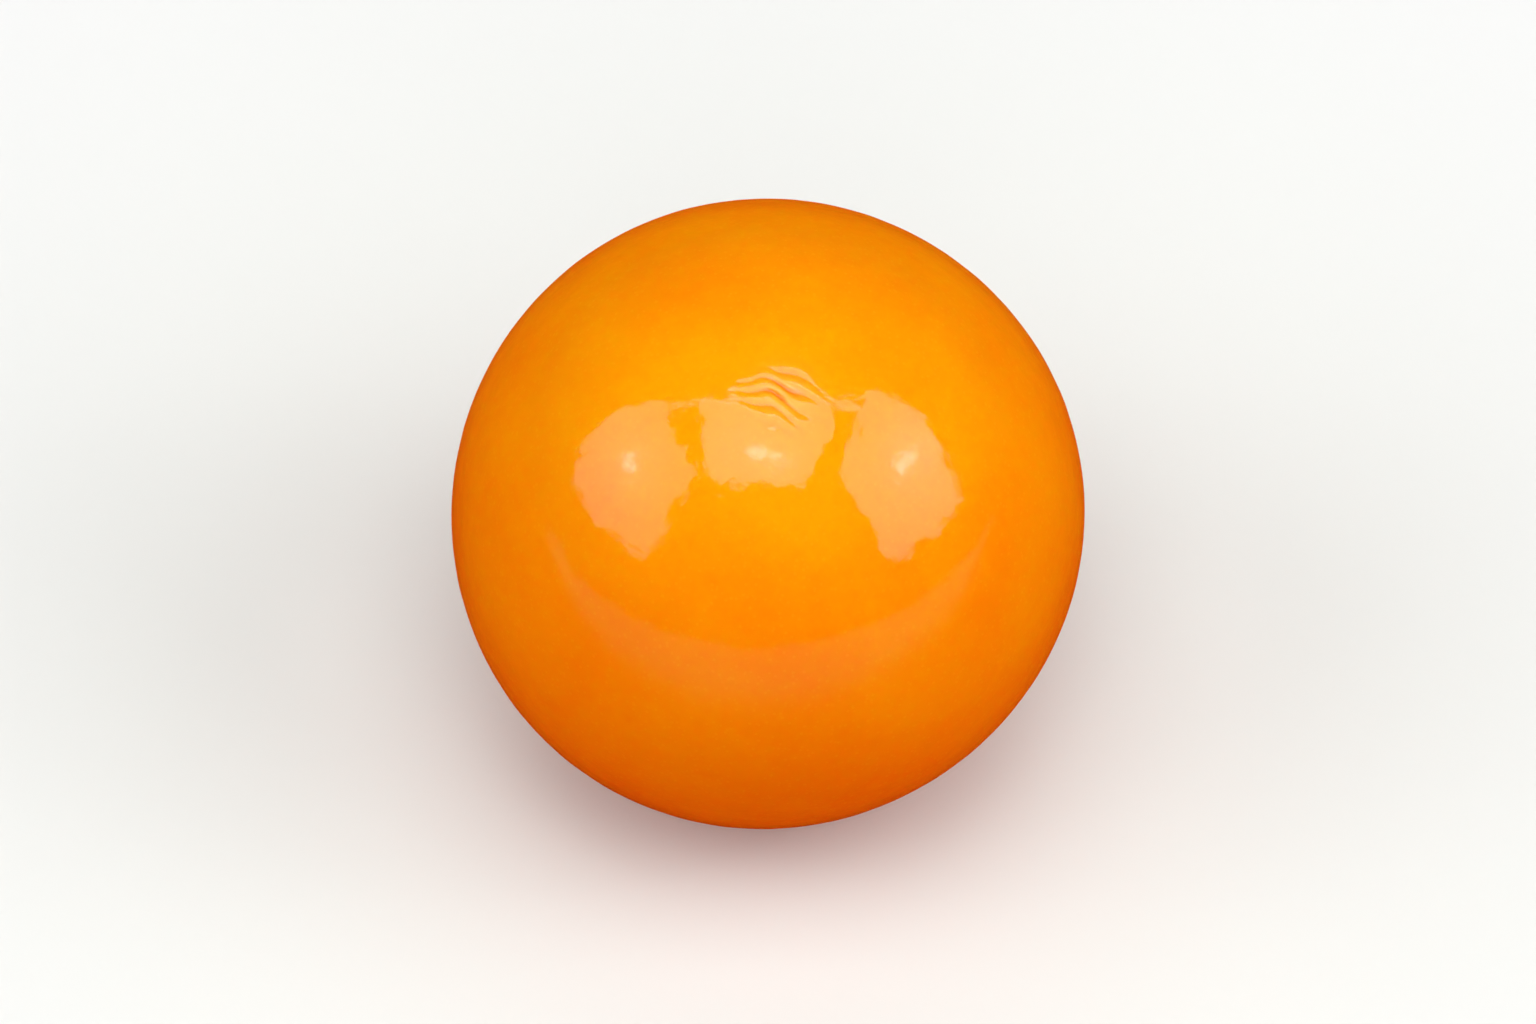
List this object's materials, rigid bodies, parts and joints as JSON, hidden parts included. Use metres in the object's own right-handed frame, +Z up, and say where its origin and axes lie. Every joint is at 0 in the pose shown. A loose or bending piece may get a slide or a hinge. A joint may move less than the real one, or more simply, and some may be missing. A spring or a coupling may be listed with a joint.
{
  "type": "physalis berry",
  "caption": "Husk-less physalis berry, a near-round glossy orange fruit with a calyx scar at the stem end and a puckered style scar, resting on a small flat spot.",
  "frame": {"origin": "middle of the berry's box, at the bottom, on the small flat spot that it rests on", "axes": "+Z up. The style scar (blossom end) looks up and leans 19 degrees towards -Y and a little towards +X, and the calyx scar (stem end) is at the opposite end, underneath, leaning towards +Y. The picture looks along +Y from about 50 degrees above."},
  "size_m": [0.021, 0.021, 0.021],
  "materials": {
    "berry_skin": "glossy, thin translucent fruit skin"
  },
  "bodies": {
    "root": {"berry": "berry_skin"}
  },
  "joints": []
}
